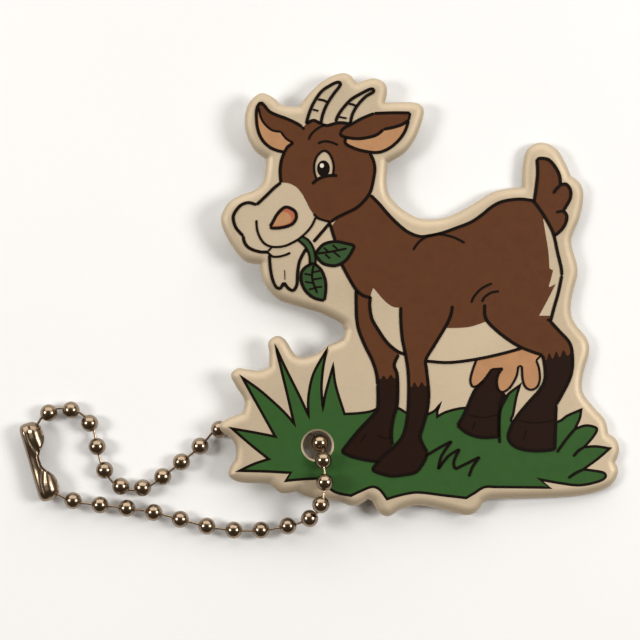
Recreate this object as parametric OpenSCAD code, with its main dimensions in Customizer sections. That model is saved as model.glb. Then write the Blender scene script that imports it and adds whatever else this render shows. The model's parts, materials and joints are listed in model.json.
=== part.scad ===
// Printed goat tag with a ball chain and a folded clasp.
// The tag lies face up on its chain, +X to the goat's tail and +Y to its horns.
// The hidden run of the chain passes under the tag and lifts its left side a little.

/* [Tag] */
// Width of the tag, from its left-hand points to its right-hand points
tag_w = 55.7; // [46:0.1:67]
// Thickness of the tag
tag_t = 1.5; // [1.2:0.1:2]
// Diameter of the hole for the chain
hole_d = 4; // [3.8:0.1:4.8]
// Width of the polished bevel round the hole
hole_bevel = 0.25; // [0.1:0.05:0.5]
// Distance from the hole's centre to the tag's lower edge
hole_edge = 7.5; // [7.4:0.1:9]

/* [Chain] */
// Diameter of a bead
bead_d = 2.4; // [2:0.1:2.9]
// Thickness of a bead's wall
bead_wall = 0.15; // [0.12:0.01:0.17]
// Diameter of the wire of a pin
wire_d = 0.34; // [0.28:0.02:0.36]
// Clearance round the wire in a bead's hole
wire_gap = 0.08; // [0.07:0.01:0.1]
// How much further than its hole a pin's head reaches, on each side
head_catch = 0.05; // [0.04:0.01:0.08]

/* [Clasp] */
// Thickness of the clasp's sheet
sheet_t = 0.25; // [0.2:0.01:0.3]
// Clearance round an end bead in its cup
cup_gap = 0.1; // [0.06:0.01:0.15]
// Height of the slot that the pins leave by
slot_h = 1; // [0.8:0.05:1.2]

/* [Hidden] */
$fn = 48;
bead_r = bead_d / 2;
wire_r = wire_d / 2;
bore_r = wire_r + wire_gap;
head_r = bore_r + head_catch;
// Gap that keeps two pieces apart where they rest on each other
rest_gap = 0.05;
// A pin bears on a bead at the middle of its wall
bore_reach = bead_r - bead_wall / 2;
// Every pin has the same length between the centres of its heads: where the beads
// are furthest apart, its heads still have this much play inside both beads
head_play = 0.1;
far_head = bead_r - bead_wall - head_r - head_play;
widest_pitch = 3.85;

// The route of the chain is drawn for beads of this size, about the hole's bead
route_bead_d = 2.4;
chain_scale = bead_d / route_bead_d;
pin_len = chain_scale * widest_pitch - 2 * far_head;

// Centre of the bead that sits in the hole
hole_bead_xy = [0.1, -19.05];
// Beads from the hole over the tag's lower edge to the clasp, all from above, each with
// the share of the climb from the table to the tag's face that it has made
front_route = [
    [0.6, -21.3, 1], [0.8, -24.3, 1.18], [0.25, -27.4, 1.1], [-1.3, -29.5, 0.55], [-4.35, -30.7, 0.1],
    [-8.1, -31.3, 0], [-11.9, -31.3, 0], [-15.65, -30.75, 0], [-19.35, -29.8, 0], [-23.05, -28.85, 0],
    [-26.8, -28.25, 0], [-30.55, -27.8, 0], [-34.3, -27.2, 0]
];
// Beads from the hole under the tag and round the free loop to the clasp
back_route = [
    [-2.6, -17.45, 0], [-6.35, -16.9, 0], [-10.15, -16.75, 0], [-13.9, -17.25, 0], [-16.6, -19.6, 0],
    [-19.2, -21.8, 0], [-21.8, -23.85, 0], [-24.6, -25.4, 0], [-27.65, -25.2, 0], [-29.9, -22.95, 0],
    [-30.95, -19.65, 0], [-32, -16.4, 0], [-34.6, -14.55, 0], [-37.7, -14.95, 0]
];
hole_climb = 0.42;
// End beads in the clasp's lower and upper cups
lower_cup_xy = [-37.7, -25.6];
upper_cup_xy = [-40, -17.75];

// Centre of the hole, a little beside its bead
hole_xy = hole_bead_xy + [-0.45, -0.3];
// Point of the tag's lower edge under the hole, which stays put as the tag is scaled
edge_xy = [hole_xy[0], hole_xy[1] - hole_edge];
drawn_edge_xy = [-0.35, -26.85];
drawn_tag_w = 55.7;
tag_scale = tag_w / drawn_tag_w;

// Outline of the tag as scallops that meet in notches, clockwise from the left ear.
// Each row runs from one notch to the next, which starts the following row.
scallops = [
    [[-7.4, 20.3], [-8.9, 21.4], [-10.0, 23.3], [-10.4, 25.6], [-9.9, 27.9], [-8.3, 29.4], [-6.7, 29.0]],
    [[-5.4, 27.9], [-4.2, 27.6]],
    [[-2.9, 27.6], [-1.5, 29.4], [0.5, 31.2], [2.6, 32.2], [4.1, 32.1]],
    [[5.2, 30.9], [7.4, 31.6], [9.0, 31.0], [9.4, 29.9]],
    [[9.1, 28.2], [12.6, 28.3], [14.1, 27.9], [14.5, 26.6], [13.4, 23.4], [11.8, 21.2]],
    [[9.5, 19.8], [9.4, 16.2], [10.7, 14.1], [13.0, 12.5], [15.0, 12.0], [18.0, 12.4], [21.0, 13.9],
        [23.9, 15.7], [26.0, 16.3]],
    [[28.3, 16.5], [28.4, 19.5], [29.0, 21.8], [31.0, 22.8], [33.2, 21.8], [34.5, 19.6]],
    [[35.1, 18.2], [36.5, 17.0], [36.9, 15.3], [36.4, 12.4], [35.5, 10.2], [35.2, 8.6], [36.1, 5.0],
        [35.4, 1.8], [35.1, -0.8], [35.8, -2.6], [37.4, -4.6], [37.7, -6.6], [36.9, -9.4], [36.8, -12.0],
        [38.4, -14.2], [39.9, -15.9]],
    [[40.4, -17.8], [41.6, -18.8], [41.95, -20.3]],
    [[41.4, -21.9], [41.8, -23.2], [40.8, -25.1], [38.2, -26.2], [34.5, -26.7], [28.0, -26.9],
        [24.2, -27.0]],
    [[22.9, -27.4], [21.9, -28.7], [20.4, -29.2], [18.0, -28.6], [14.0, -27.8], [11.4, -28.3],
        [9.6, -29.3], [8.2, -28.7], [7.4, -27.3]],
    [[6.7, -26.9], [5.6, -27.6], [4.3, -27.8], [2.4, -27.1], [-0.35, -26.85], [-2.0, -26.4]],
    [[-3.0, -25.8], [-5.2, -26.0], [-6.3, -25.3]],
    [[-7.0, -24.6], [-10.8, -24.5], [-12.5, -23.7], [-12.5, -22.6]],
    [[-11.7, -21.3], [-11.6, -19.7], [-12.3, -18.4], [-13.6, -17.4], [-13.8, -16.4], [-12.6, -15.6]],
    [[-10.7, -14.9], [-10.4, -13.2], [-11.6, -11.2], [-12.3, -9.6], [-11.4, -8.7], [-10.2, -8.8],
        [-8.2, -9.0]],
    [[-7.0, -8.4], [-7.0, -6.6], [-7.1, -5.0], [-5.9, -4.2], [-4.7, -4.8], [-3.5, -6.7], [-2.2, -7.2],
        [-0.4, -6.6], [1.2, -5.5], [3.0, -4.7]],
    [[3.5, -3.4], [2.9, -2.4], [0.0, -1.0], [-3.4, 0.0], [-6.0, 1.0], [-7.8, 3.3]],
    [[-8.3, 5.7], [-10.3, 6.1], [-11.8, 7.7], [-13.1, 9.9], [-13.7, 12.1], [-12.7, 14.2], [-10.9, 15.3],
        [-9.0, 16.0], [-7.8, 17.4]]
];
curve_steps = 4;

function two_digits(n) = str(n < 10 ? "0" : "", n);

// A smooth curve through the points of one scallop, from its first point up to but
// not including the next notch: a Catmull-Rom curve with its ends repeated
function curve_point(a, b, c, d, t) =
    0.5 * (2 * b + (c - a) * t + (2 * a - 5 * b + 4 * c - d) * t * t + (3 * b - a - 3 * c + d) * t * t * t);
function scallop_curve(points, next_notch) =
    let (p = concat([points[0]], points, [next_notch, next_notch]))
    [for (i = [1 : len(points)], s = [0 : curve_steps - 1])
        curve_point(p[i - 1], p[i], p[i + 1], p[i + 2], s / curve_steps)];
tag_outline = [
    for (i = [0 : len(scallops) - 1])
        for (p = scallop_curve(scallops[i], scallops[(i + 1) % len(scallops)][0]))
            edge_xy + (p - drawn_edge_xy) * tag_scale
];

function route_xy(p) = hole_bead_xy + ([p[0], p[1]] - hole_bead_xy) * chain_scale;
// The tag turns about its right-hand tip until the nearest hidden bead fits under it
tip_x = max([for (p = tag_outline) p[0]]);
tip_to_bead = tip_x - route_xy(back_route[0])[0];
tilt = asin((bead_r + rest_gap) / norm([tip_to_bead, bead_r])) + atan(bead_r / tip_to_bead);
function tag_top(x) = (tip_x - x) * tan(tilt) + tag_t / cos(tilt);

// Places of the bead centres: a climb of 0 is on the table, and 1 is on the tag's face
function bead_place(xy, climb) =
    let (face = tag_top(xy[0]) + bead_r / cos(tilt) + rest_gap)
    [xy[0], xy[1], bead_r + climb * (face - bead_r)];
front_places = [for (p = front_route) bead_place(route_xy(p), p[2])];
back_places = [for (p = back_route) bead_place(route_xy(p), p[2])];

// How far the clasp's leaves reach past its middle between the cups
spine_reach = 0.3;
// How far each cup reaches from its bead's centre towards the other
cup_length = 1.5;
// Where the slot starts, past the middle of the clasp
slot_start = 0.35;
// The clasp lies on the table, its cups a little higher than the beads beside it
cup_r = bead_r + cup_gap;
shell_r = cup_r + sheet_t;
lower_cup = [route_xy(lower_cup_xy)[0], route_xy(lower_cup_xy)[1], shell_r];
upper_cup = [route_xy(upper_cup_xy)[0], route_xy(upper_cup_xy)[1], shell_r];
// All the beads in order, from the clasp's lower cup through the hole to its upper cup
hole_at = len(front_places) + 1;
line = concat(
    [lower_cup],
    [for (i = [len(front_places) - 1 : -1 : 0]) front_places[i]],
    [bead_place(hole_bead_xy, hole_climb)],
    back_places,
    [upper_cup]
);
last = len(line) - 1;

// Each bead's bores point halfway between its two pins, an end bead's bore points along
// its one pin, and each pin runs from bore to bore, so the axes settle together in a few
// rounds
function unit(v) = v / norm(v);
function pin_way(axes, k) = unit(line[k + 1] - line[k] - bore_reach * (axes[k] + axes[k + 1]));
function next_axes(axes) = [
    for (k = [0 : last])
        k == 0 ? unit(line[1] - bore_reach * axes[1] - line[0])
        : k == last ? unit(line[last] - line[last - 1] - bore_reach * axes[last - 1])
        : unit(axes[k] + unit(pin_way(axes, k - 1) + pin_way(axes, k)))
];
function settled(axes, rounds) = rounds == 0 ? axes : settled(next_axes(axes), rounds - 1);
first_axes = [for (k = [0 : last]) unit(line[min(k + 1, last)] - line[max(k - 1, 0)])];
settle_rounds = 12;
bore_axes = settled(first_axes, settle_rounds);
function bore_after(k) = line[k] + bore_reach * bore_axes[k];
function bore_before(k) = line[k] - bore_reach * bore_axes[k];

// Turns +Z to a direction
module point_along(d) {
    rotate([0, acos(d[2] / norm(d)), atan2(d[1], d[0])])
        children();
}

// A hollow bead with a bore at each end of its axis
module bead(place, axis, ends = 2) {
    translate(place)
        point_along(axis)
            difference() {
                sphere(r = bead_r);
                sphere(r = bead_r - bead_wall);
                translate([0, 0, ends == 2 ? -bead_d : 0])
                    cylinder(r = bore_r, h = ends * bead_d);
            }
}

// A wire with a round head at each end, from its middle
module pin(middle, way) {
    translate(middle)
        point_along(way)
            translate([0, 0, -pin_len / 2]) {
                cylinder(r = wire_r, h = pin_len);
                sphere(r = head_r, $fn = 24);
                translate([0, 0, pin_len])
                    sphere(r = head_r, $fn = 24);
            }
}

// A bead or a pin of the chain by its place in the line; a pin's slack is shared
// equally between its two beads
module line_bead(k) {
    color("#8f7f6b")
        bead(line[k], bore_axes[k]);
}
module line_pin(k) {
    color("#6f6252")
        pin((bore_after(k) + bore_before(k + 1)) / 2, pin_way(bore_axes, k));
}

// The last pin of the back run is pushed home in its end bead, clear of its other bead
open_gap = 0.1;
module open_pin() {
    way = -pin_way(bore_axes, last - 1);
    far_head_place = norm(line[last - 1] - upper_cup) - bead_r - head_r - open_gap;
    color("#6f6252")
        pin(upper_cup + way * (far_head_place - pin_len / 2), way);
}

module tag_plate() {
    color("#b7a27f")
        translate([tip_x, 0, 0])
            rotate([0, tilt, 0])
                translate([-tip_x, 0, 0])
                    difference() {
                        linear_extrude(tag_t)
                            polygon(tag_outline);
                        translate([hole_xy[0], hole_xy[1], -1])
                            cylinder(d = hole_d, h = tag_t + 2);
                        translate([hole_xy[0], hole_xy[1], tag_t - hole_bevel])
                            cylinder(d1 = hole_d, d2 = hole_d + 4 * hole_bevel, h = 2 * hole_bevel);
                    }
}

// A round-ended shell about +Y, from one end bead to the other
module capsule(r, span) {
    rotate([-90, 0, 0])
        rotate_extrude()
            intersection() {
                union() {
                    circle(r = r);
                    translate([0, span])
                        circle(r = r);
                    translate([-r, 0])
                        square([2 * r, span]);
                }
                translate([0, -r])
                    square([r, span + 2 * r]);
            }
}

// A folded strip: a spine along one side and a dished cup round each end bead,
// with the slot for the pins on the open side
module clasp() {
    span = norm(upper_cup - lower_cup);
    reach = 2 * shell_r;
    color("#8a7a66")
        translate(lower_cup)
            rotate([0, 0, atan2(upper_cup[1] - lower_cup[1], upper_cup[0] - lower_cup[0]) - 90])
                difference() {
                    capsule(shell_r, span);
                    capsule(cup_r, span);
                    translate([spine_reach, cup_length, -shell_r - 1])
                        cube([reach, span - 2 * cup_length, 2 * shell_r + 2]);
                    translate([slot_start, -reach, -slot_h / 2])
                        cube([reach, span + 2 * reach, slot_h]);
                }
}

module clasp_end_beads() {
    color("#8f7f6b") {
        bead(lower_cup, bore_axes[0], 1);
        bead(upper_cup, -bore_axes[last], 1);
    }
}

tag_plate();
clasp();
clasp_end_beads();
line_bead(hole_at);  // hole_bead
for (i = [1 : len(front_route)])
    line_bead(hole_at - i);
for (i = [1 : len(back_route)])
    line_bead(hole_at + i);
for (i = [1 : len(front_route) + 1])
    line_pin(hole_at - i);
for (i = [1 : len(back_route)])
    line_pin(hole_at + i - 1);
open_pin();
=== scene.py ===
"""Printed goat tag on a ball chain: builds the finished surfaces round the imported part."""

import json
import math

import bmesh
import bpy
import numpy as np
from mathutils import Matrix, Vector
from mathutils.geometry import delaunay_2d_cdt, tessellate_polygon

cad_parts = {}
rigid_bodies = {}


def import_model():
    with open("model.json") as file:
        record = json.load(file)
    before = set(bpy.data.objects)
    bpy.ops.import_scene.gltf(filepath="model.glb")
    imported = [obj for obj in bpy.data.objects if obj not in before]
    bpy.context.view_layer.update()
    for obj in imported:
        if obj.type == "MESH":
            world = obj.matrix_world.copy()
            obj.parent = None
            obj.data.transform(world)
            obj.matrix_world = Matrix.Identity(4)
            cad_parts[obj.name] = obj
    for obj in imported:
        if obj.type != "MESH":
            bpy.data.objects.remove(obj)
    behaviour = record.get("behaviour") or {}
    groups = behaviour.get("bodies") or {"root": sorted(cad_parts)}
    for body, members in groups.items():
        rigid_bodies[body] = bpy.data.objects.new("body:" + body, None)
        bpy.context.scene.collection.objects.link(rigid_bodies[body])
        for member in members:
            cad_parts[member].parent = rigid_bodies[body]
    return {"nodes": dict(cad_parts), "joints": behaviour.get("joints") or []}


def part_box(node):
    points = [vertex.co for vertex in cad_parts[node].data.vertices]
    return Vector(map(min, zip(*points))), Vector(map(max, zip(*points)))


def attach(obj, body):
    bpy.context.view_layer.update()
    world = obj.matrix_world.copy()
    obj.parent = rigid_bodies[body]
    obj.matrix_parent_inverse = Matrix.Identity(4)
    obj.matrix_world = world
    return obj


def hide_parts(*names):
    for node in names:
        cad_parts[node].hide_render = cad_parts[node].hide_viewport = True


bl_info = {
    "name": "Goat tag with ball chain",
    "version": (1, 0, 0),
    "blender": (4, 5, 0),
    "location": "3D View > Sidebar > Goat tag",
    "description": "Rolled metal tag, its printed goat, and a ball chain with a folded clasp",
    "category": "Mesh",
}

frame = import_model()

MM = 0.001
SETTINGS = "goat_tag"

# The tag's points this near the hole's centre are the hole's own, and its bevel goes down
# and inwards by these shares of its width
HOLE_REACH = 4 * MM
BEVEL_DEPTHS = (0.35, 0.75, 1.0)
BEVEL_WIDTHS = (0.25, 0.7, 1.0)
# Roundness of the underside's edge: its width and its height
UNDER_ROLL = 0.35 * MM
UNDER_RISE = 0.22 * MM
# Rows of points inside the outline, as shares of the rolled edge, and the spacing beyond
ROLL_SHARES = (0.02, 0.06, 0.13, 0.22, 0.33, 0.46, 0.6, 0.74, 0.87, 0.97, 1.02, 1.12, 1.35)
FIELD_STEP = 1.3 * MM
FIELD_SHARE = 1.7

# Pen widths and the bare ring round the hole, in millimetres
BLADE_PEN, OUTER_PEN, INNER_PEN, FAINT_PEN = 0.38, 0.44, 0.32, 0.12
HOLE_MARGIN = 0.02
# How far each ink reaches into the metal, and the inks that have no setting
INK_SINK = 0.006 * MM
NOSTRIL_RIM = (0.42, 0.14, 0.075)
GLINT = (0.8, 0.74, 0.64)

# The chain: a bead's hole and sheet, and a pin's wire and head
BORE = 0.28 * MM
WALL = 0.15 * MM
WIRE = 0.17 * MM
HEAD_R = 0.30 * MM
# A bead's seam: its half width and the profile's angles across it, in radians
SEAM_WIDTH = 0.035
SEAM_ANGLES = (-0.075, -0.04, 0.0, 0.04, 0.075)
# The clasp: its sheet, half its slot at the cups, where its edges lie at the waist, and
# how far from a cup's middle it starts to open and how long it takes
SHEET = 0.25 * MM
CUP_SLOT = 0.6 * MM
WAIST_SLOT = -0.05 * MM
CUP_REACH = 0.6 * MM
WAIST_REACH = 2.9 * MM
# Shares of its radius: the pinch at the waist, and a crease that moves along each side
PINCH = 0.2
CREASE_DEPTH, CREASE_WIDTH = 0.16, 0.2
CREASE_START, CREASE_MOVE = -0.12, 0.32

# The camera looks down at this place; the floor's half side and how far it lies below
VIEW_CENTRE = (0.14 * MM, -2.0 * MM, 2.5 * MM)
FLOOR_HALF = 1.5
FLOOR_DROP = 0.00002
WARM_WHITE = (1.0, 0.96, 0.90)
WORLD_BROWN = (0.30, 0.23, 0.17)
WORLD_STRENGTH = 0.3
# The soft lights: name, place, size, power
LIGHTS = (
    ("left_light", (-0.42, 0.03, 0.36), (0.18,), 1.35),
    ("right_light", (0.40, 0.03, 0.38), (0.22,), 1.7),
    ("back_light", (0.0, 1.10, 0.70), (2.4, 1.2), 19.5),
)


# ---------------------------------------------------------------- settings

def length_setting(name, description, default, low, high, **more):
    """A length, in metres."""
    return bpy.props.FloatProperty(name=name, description=description, default=default,
                                   min=low, max=high, unit="LENGTH", **more)


def colour_setting(name, description, default):
    """A linear colour."""
    return bpy.props.FloatVectorProperty(name=name, description=description, default=default,
                                         size=3, min=0, max=1, subtype="COLOR")


class GoatTagPlate(bpy.types.PropertyGroup):
    """Sizes and colours of the metal tag."""

    roll: length_setting("Rolled edge", "Width of the rounded border of the tag",
                         1.35 * MM, 0.0002, 0.004, precision=5)
    edge_wall: length_setting("Edge height", "Height on the edge where the upper roll starts",
                              0.42 * MM, 0.0001, 0.0014, precision=5)
    metal: colour_setting("Metal", "Colour of the brushed metal", (0.66, 0.55, 0.40))


class GoatTagPrint(bpy.types.PropertyGroup):
    """Colours and thickness of the print."""

    step: length_setting("Ink thickness", "Height of one layer of ink",
                         0.012 * MM, 1e-6, 1e-4, precision=6)
    coat: colour_setting("Coat", "Brown of the goat's coat", (0.112, 0.041, 0.017))
    legs: colour_setting("Lower legs", "Dark brown of the lower legs and hooves",
                         (0.017, 0.006, 0.003))
    skin: colour_setting("Skin", "Pink of the ears, nostril and udder", (0.47, 0.25, 0.125))
    grass: colour_setting("Grass", "Green of the grass", (0.035, 0.105, 0.026))
    leaf: colour_setting("Leaves", "Green of the sprig in the goat's mouth", (0.037, 0.088, 0.030))
    ink: colour_setting("Line ink", "Near-black of the drawn lines", (0.006, 0.0025, 0.001))


class GoatTagChain(bpy.types.PropertyGroup):
    """Details of the beads, pins and clasp."""

    seam: length_setting("Seam depth", "Depth of the seam along each bead",
                         0.03 * MM, 0, 0.0002, precision=6)
    lip: length_setting("Lip", "Size of the flared mouth of each bead's hole",
                        0.06 * MM, 0, 0.0002, precision=6)
    plating: colour_setting("Plating", "Colour of the nickel plating", (0.36, 0.275, 0.195))
    fold: bpy.props.FloatProperty(
        name="Fold", description="How square the clasp's folded spine is, 1 for round",
        default=0.72, min=0.4, max=1, subtype="FACTOR")


class GoatTagStage(bpy.types.PropertyGroup):
    """Floor, light and camera."""

    floor: colour_setting("Floor", "Colour of the floor", (0.88, 0.91, 0.95))
    reach: length_setting("Camera distance", "Distance from the camera to the tag",
                          0.2963, 0.05, 2)


# ---------------------------------------------------------------- meshes

def ring_faces(upper, lower):
    """Quads between two closed rows of point numbers."""
    return np.stack([upper, np.roll(upper, -1), np.roll(lower, -1), lower], -1)


def left_normals(loop):
    """The unit normal on the left of each edge of an outline, and of the edge before it."""
    along = np.roll(loop, -1, 0) - loop
    normal = np.stack([-along[:, 1], along[:, 0]], -1)
    normal /= np.linalg.norm(normal, axis=1, keepdims=True)
    return normal, np.roll(normal, 1, 0)


def quarter_round(share):
    """Height of a quarter circle at a share of its width, 0 to 1, and 1 beyond."""
    return np.sqrt(np.clip(1 - (1 - np.clip(share, 0, 1)) ** 2, 0, 1))


def grid_faces(rows, cols, wrap_rows=False, wrap_cols=True):
    """Quads between neighbouring points of a grid of rows x cols, closed where it wraps."""
    i, j = np.meshgrid(np.arange(rows if wrap_rows else rows - 1),
                       np.arange(cols if wrap_cols else cols - 1), indexing="ij")
    a, b = i * cols, (i + 1) % rows * cols
    k = (j + 1) % cols
    return np.stack([a + j, a + k, b + k, b + j], -1).reshape(-1, 4)


def make_piece(name, points, faces, material, body, nodes=(), smooth=True, rim=None):
    """Puts the surface in a mesh, closes its poles, turns its faces outwards and rides it.
    Where rim is given, it is kept as the mesh's rim attribute."""
    mesh = bpy.data.meshes.new(name)
    mesh.from_pydata(np.asarray(points, float).tolist(), [],
                     [f for part in faces for f in np.asarray(part).tolist()])
    if rim is not None:
        attribute = mesh.attributes.new("rim", "FLOAT", "POINT")
        attribute.data.foreach_set("value", rim.astype(np.float32))
    work = bmesh.new()
    work.from_mesh(mesh)
    bmesh.ops.remove_doubles(work, verts=work.verts, dist=2e-8)
    bmesh.ops.recalc_face_normals(work, faces=work.faces)
    work.to_mesh(mesh)
    work.free()
    if smooth:
        mesh.shade_smooth()
    else:
        mesh.shade_flat()
    mesh.materials.append(material)
    piece = bpy.data.objects.new(name, mesh)
    bpy.context.scene.collection.objects.link(piece)
    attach(piece, body)
    if nodes:
        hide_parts(*nodes)


def node_points(name):
    """A CAD node's vertices as an array."""
    mesh = frame["nodes"][name].data
    co = np.empty(len(mesh.vertices) * 3, np.float32)
    mesh.vertices.foreach_get("co", co)
    return co.reshape(-1, 3).astype(float)


def across(axis):
    """Two unit vectors square to an axis and to each other."""
    axis = axis / np.linalg.norm(axis)
    side = np.cross(axis, [0.0, 0.0, 1.0] if abs(axis[2]) < 0.9 else [1.0, 0.0, 0.0])
    side /= np.linalg.norm(side)
    return side, np.cross(axis, side)


def turned(profile, angles, centre, axis, dent=None):
    """Each profile point (radius, height) goes round the axis: centre + height along the
    axis + radius times (cos, sin) across it; dent is taken off the radius at each angle."""
    side, other = across(axis)
    axis = axis / np.linalg.norm(axis)
    radius, height = np.asarray(profile).T
    radius = radius[:, None] - (0 if dent is None else dent)
    ring = np.cos(angles)[:, None] * side + np.sin(angles)[:, None] * other
    return (centre + height[:, None, None] * axis + radius[:, :, None] * ring).reshape(-1, 3)


# ---------------------------------------------------------------- node groups

def plug(tree, target, source):
    """Links a socket to an input, or sets the input's value."""
    if isinstance(source, bpy.types.NodeSocket):
        tree.links.new(source, target)
    else:
        target.default_value = source


def shader_node(tree, kind, inputs, **properties):
    """The outputs of a new node, with its properties set and its inputs plugged."""
    made = tree.nodes.new("ShaderNode" + kind)
    for key, value in properties.items():
        setattr(made, key, value)
    for key, source in inputs.items():
        plug(tree, made.inputs[key], source)
    return made.outputs


def mixed(tree, factor, first, second):
    """The socket of a colour that goes from the first to the second by the factor."""
    mix = tree.nodes.new("ShaderNodeMix")
    mix.data_type = "RGBA"
    plug(tree, mix.inputs["Factor"], factor)
    for target, source in zip([s for s in mix.inputs if s.type == "RGBA"], (first, second)):
        plug(tree, target, source)
    return next(s for s in mix.outputs if s.type == "RGBA")


def wear_group():
    """Handling marks: cloudy noise and long fine scratches. Gives a colour between the
    clean and the deep one, a roughness and a normal."""
    tree = bpy.data.node_groups.new("handled_metal", "ShaderNodeTree")
    for name, kind, default in (
            ("Colour", "Color", (0.8, 0.8, 0.8, 1)), ("Deep colour", "Color", (0.4, 0.4, 0.4, 1)),
            ("Roughness low", "Float", 0.1), ("Roughness high", "Float", 0.3),
            ("Cloud size", "Float", 300.0), ("Stretch", "Vector", (1.0, 1.0, 1.0)),
            ("Grain size", "Float", 3000.0), ("Grain depth", "Float", 0.1)):
        made = tree.interface.new_socket(name=name, in_out="INPUT",
                                         socket_type="NodeSocket" + kind)
        made.default_value = default
    for name, kind in (("Colour", "Color"), ("Roughness", "Float"), ("Normal", "Vector")):
        tree.interface.new_socket(name=name, in_out="OUTPUT", socket_type="NodeSocket" + kind)
    enter = tree.nodes.new("NodeGroupInput").outputs
    leave = tree.nodes.new("NodeGroupOutput").inputs
    place = shader_node(tree, "TexCoord", {})["Object"]
    cloud = shader_node(tree, "TexNoise", {"Vector": place, "Scale": enter["Cloud size"],
                                           "Detail": 5.0, "Roughness": 0.6})["Fac"]
    stretched = shader_node(tree, "VectorMath", {0: place, 1: enter["Stretch"]},
                            operation="MULTIPLY")[0]
    grain = shader_node(tree, "TexNoise", {"Vector": stretched, "Scale": enter["Grain size"],
                                           "Detail": 3.0})["Fac"]
    spread = shader_node(tree, "MapRange", {"Value": cloud, "From Min": 0.35,
                                            "From Max": 0.68})["Result"]
    part = shader_node(tree, "Math", {0: spread, 1: 0.6}, operation="MULTIPLY")[0]
    blend = shader_node(tree, "Math", {0: grain, 1: 0.5, 2: part}, operation="MULTIPLY_ADD")[0]
    rough = shader_node(tree, "MapRange", {"Value": blend, "To Min": enter["Roughness high"],
                                           "To Max": enter["Roughness low"]})
    bump = shader_node(tree, "Bump", {"Strength": enter["Grain depth"], "Distance": 0.00002,
                                      "Height": grain})
    plug(tree, leave["Colour"], mixed(tree, blend, enter["Deep colour"], enter["Colour"]))
    plug(tree, leave["Roughness"], rough["Result"])
    plug(tree, leave["Normal"], bump["Normal"])
    return tree


def handled(name, colour, deep, rough, cloud, grain, depth, stretch=(1.0, 1.0, 1.0), **constants):
    """A handled surface: its colour, the share of it that its deep colour has, its least and
    most roughness, the sizes of its clouds and grain, the grain's depth and stretch."""
    material = bpy.data.materials.new(name)
    material.use_nodes = True
    material.diffuse_color = (*colour, 1)
    tree = material.node_tree
    shader = tree.nodes["Principled BSDF"]
    group = tree.nodes.new("ShaderNodeGroup")
    group.node_tree = bpy.data.node_groups.get("handled_metal") or wear_group()
    for key, value in (("Colour", (*colour, 1)), ("Deep colour", (*tone(colour, deep), 1)),
                       ("Roughness low", rough[0]), ("Roughness high", rough[1]),
                       ("Cloud size", cloud), ("Stretch", stretch),
                       ("Grain size", grain), ("Grain depth", depth)):
        group.inputs[key].default_value = value
    for target, source in (("Base Color", "Colour"), ("Roughness", "Roughness"),
                           ("Normal", "Normal")):
        plug(tree, shader.inputs[target], group.outputs[source])
    for key, value in constants.items():
        shader.inputs[key.replace("_", " ")].default_value = value
    return material


def tone(colour, amount):
    """A colour made darker or lighter."""
    return tuple(min(1.0, c * amount) for c in colour)


# ---------------------------------------------------------------- the tag's own plane

TURN = next(j for j in frame["joints"] if j["child"] == "hole_bead")
UP = np.array(TURN["axis"]) / np.linalg.norm(TURN["axis"])
EAST = np.array([UP[2], 0.0, -UP[0]])
HOLE = np.array(TURN["pos_m"])


def plane_frame():
    """The tag's thickness and its tip. A point of the tag is
    tip + (x - tip's x) along EAST + y along +Y + height along UP."""
    height = node_points("tag_plate") @ UP
    tip = np.array([height.min() / UP[0], 0.0, 0.0])
    return height.max() - height.min(), tip


TAG_T, TIP = plane_frame()


def on_tag(xy, height):
    """Places on the tag from drawing coordinates and a height above its underside."""
    xy = np.asarray(xy, float)
    height = np.broadcast_to(height, xy.shape[:-1])
    return (TIP + (xy[..., :1] - TIP[0]) * EAST + xy[..., 1:2] * [0.0, 1.0, 0.0]
            + height[..., None] * UP)


def off_tag(points):
    """Drawing coordinates and heights of places on the tag, the reverse of on_tag."""
    away = points - TIP
    return np.stack([away @ EAST + TIP[0], away[:, 1]], -1), away @ UP


def tag_loops():
    """The outline of the tag as the CAD wall's upper edges, walked from end to end, and
    the hole's centre and radii."""
    mesh = frame["nodes"]["tag_plate"].data
    xy, height = off_tag(node_points("tag_plate"))
    tris = np.empty(len(mesh.polygons) * 3, np.int32)
    mesh.polygons.foreach_get("vertices", tris)
    tris = tris.reshape(-1, 3)
    centre = off_tag(HOLE[None])[0][0]
    key = np.round(xy / 2e-6).astype(np.int64)
    _, first, same = np.unique(key, axis=0, return_index=True, return_inverse=True)
    same = same.reshape(-1)
    top = height > TAG_T * 0.98
    edges = np.concatenate([tris[:, [0, 1]], tris[:, [1, 2]], tris[:, [2, 0]]])
    flat = top[tris].all(1)
    upper = edges[np.tile(flat, 3)]
    upper = np.sort(same[upper], axis=1)
    pairs, count = np.unique(upper, axis=0, return_counts=True)
    rim = pairs[count == 1]
    near = np.linalg.norm(xy[first] - centre, axis=1) < HOLE_REACH
    rim = rim[~near[rim].any(1)]
    after = {}
    for a, b in rim.tolist():
        after.setdefault(a, []).append(b)
        after.setdefault(b, []).append(a)
    here = rim[0, 0]
    walk, seen = [int(here)], {int(here)}
    while True:
        onward = [n for n in after[walk[-1]] if n not in seen]
        if not onward:
            break
        walk.append(onward[0])
        seen.add(onward[0])
    loop = xy[first][walk]
    area = np.sum(loop[:, 0] * np.roll(loop[:, 1], -1) - loop[:, 1] * np.roll(loop[:, 0], -1))
    away = np.linalg.norm(xy - centre, axis=1)
    rims = away[away < HOLE_REACH]
    return (loop if area > 0 else loop[::-1]), centre, rims.min(), rims.max()


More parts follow.
